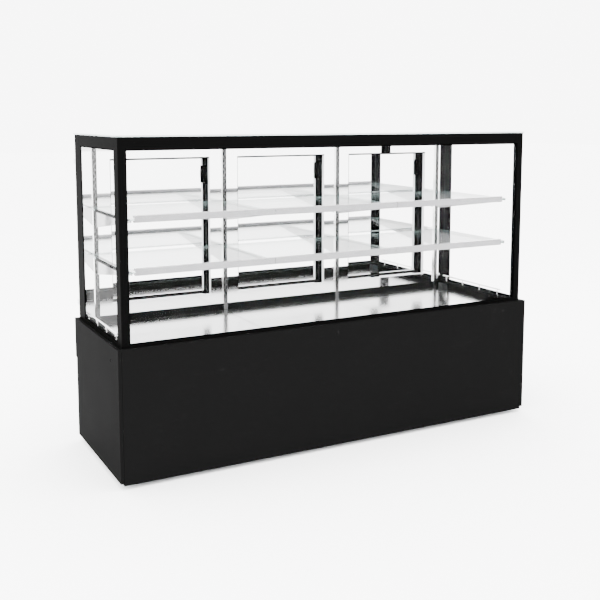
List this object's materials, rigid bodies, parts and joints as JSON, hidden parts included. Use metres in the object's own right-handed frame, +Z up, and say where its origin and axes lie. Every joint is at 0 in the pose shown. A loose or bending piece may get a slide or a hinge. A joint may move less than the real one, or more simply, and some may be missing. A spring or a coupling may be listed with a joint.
{
  "type": "refrigerated bakery display case",
  "caption": "Free-standing refrigerated bakery display case: black base cabinet, straight glass case with mirrored rear doors and glass shelves.",
  "frame": {"origin": "on the floor under the middle of the overall box", "axes": "+X along the length to the customer's right, -Y towards the customer, +Z up"},
  "size_m": [1.8, 0.64, 1.221],
  "materials": {
    "black_powder": "satin",
    "black_insulated": "satin",
    "foam": "matte",
    "galvanised": "satin",
    "polished_liner": "polished",
    "clear_glass": "polished",
    "mirror_glass": "polished",
    "black_anodised": "satin",
    "bright_metal": "polished",
    "shelf_grey": "satin",
    "black_rubber": "matte",
    "fin_aluminium": "satin",
    "copper_tube": "satin",
    "compressor_black": "gloss",
    "black_plastic": "matte",
    "fan_plastic": "satin",
    "lamp_diffuser": "satin",
    "stainless": "brushed",
    "display_dark": "gloss",
    "button_grey": "satin"
  },
  "bodies": {
    "case": {"base_frame": "galvanised", "floor_pan": "galvanised", "front_panel": "black_powder", "left_side_panel": "black_powder", "right_side_panel": "black_powder", "control_fascia": "black_powder", "rear_service_grille": "black_powder", "base_ledge": "black_powder", "levelling_feet": "black_rubber", "insulated_tub": "foam", "tub_liner": "stainless", "evaporator_coil": "fin_aluminium", "fan_deck": "galvanised", "evap_fan_motors": "black_plastic", "compressor": "compressor_black", "compressor_mounts": "black_rubber", "condenser_coil": "fin_aluminium", "condenser_shroud": "galvanised", "condenser_fan_motor": "black_plastic", "refrigerant_pipes": "copper_tube", "condensate_tray": "stainless", "electrical_box": "black_plastic", "power_gland": "black_plastic", "display_lens": "display_dark", "corner_posts": "black_powder", "top_frame": "black_powder", "bottom_frame": "black_powder", "front_glass": "clear_glass", "end_glasses": "clear_glass", "top_glass": "clear_glass", "rear_frame": "black_insulated", "rear_mirror_liner": "polished_liner", "shelf_standards": "bright_metal", "shelf_brackets": "shelf_grey", "bracket_pads": "black_rubber", "shelf_glass": "clear_glass", "shelf_nosings": "shelf_grey", "door_gaskets": "black_rubber", "hinge_brackets": "stainless", "deck_trays": "stainless", "deck_grilles": "stainless", "top_led_lamp": "lamp_diffuser", "end_guard_rails": "bright_metal", "door_catches": "black_plastic"},
    "door_1": {"door_1_frame": "black_anodised", "door_1_mirror": "mirror_glass", "door_1_handle": "black_anodised"},
    "door_2": {"door_2_frame": "black_anodised", "door_2_mirror": "mirror_glass", "door_2_handle": "black_anodised"},
    "door_3": {"door_3_frame": "black_anodised", "door_3_mirror": "mirror_glass", "door_3_handle": "black_anodised"},
    "evap_fan_rotor_left_body": {"evap_fan_rotor_left": "fan_plastic"},
    "evap_fan_rotor_right_body": {"evap_fan_rotor_right": "fan_plastic"},
    "condenser_fan_rotor_body": {"condenser_fan_rotor": "fan_plastic"},
    "button_up_body": {"button_up": "button_grey"},
    "button_down_body": {"button_down": "button_grey"},
    "button_set_body": {"button_set": "button_grey"},
    "power_switch_body": {"power_switch": "black_plastic"}
  },
  "joints": [
    {"name": "door_1_hinge", "type": "hinge", "parent": "case", "child": "door_1", "pos_m": [-0.8635, 0.298, 0.83], "axis": [0, 0, 1], "range_deg": [0, 100]},
    {"name": "door_2_hinge", "type": "hinge", "parent": "case", "child": "door_2", "pos_m": [-0.2865, 0.298, 0.83], "axis": [0, 0, 1], "range_deg": [0, 100]},
    {"name": "door_3_hinge", "type": "hinge", "parent": "case", "child": "door_3", "pos_m": [0.2905, 0.298, 0.83], "axis": [0, 0, 1], "range_deg": [0, 100]},
    {"name": "evap_fan_left_spin", "type": "hinge", "parent": "case", "child": "evap_fan_rotor_left_body", "pos_m": [-0.17, -0.155, 0.354], "axis": [0, 0, 1], "continuous": true},
    {"name": "evap_fan_right_spin", "type": "hinge", "parent": "case", "child": "evap_fan_rotor_right_body", "pos_m": [0.17, -0.155, 0.354], "axis": [0, 0, 1], "continuous": true},
    {"name": "condenser_fan_spin", "type": "hinge", "parent": "case", "child": "condenser_fan_rotor_body", "pos_m": [0.606, -0.015, 0.1235], "axis": [1, 0, 0], "continuous": true},
    {"name": "button_up_press", "type": "slide", "parent": "case", "child": "button_up_body", "axis": [0, -1, 0], "range_m": [0, 0.0015], "stiffness_N_per_m": 800},
    {"name": "button_down_press", "type": "slide", "parent": "case", "child": "button_down_body", "axis": [0, -1, 0], "range_m": [0, 0.0015], "stiffness_N_per_m": 800},
    {"name": "button_set_press", "type": "slide", "parent": "case", "child": "button_set_body", "axis": [0, -1, 0], "range_m": [0, 0.0015], "stiffness_N_per_m": 800},
    {"name": "power_switch_rock", "type": "hinge", "parent": "case", "child": "power_switch_body", "pos_m": [0.6, 0.2603, 0.417], "axis": [0, 0, 1], "range_deg": [-5, 5]}
  ]
}
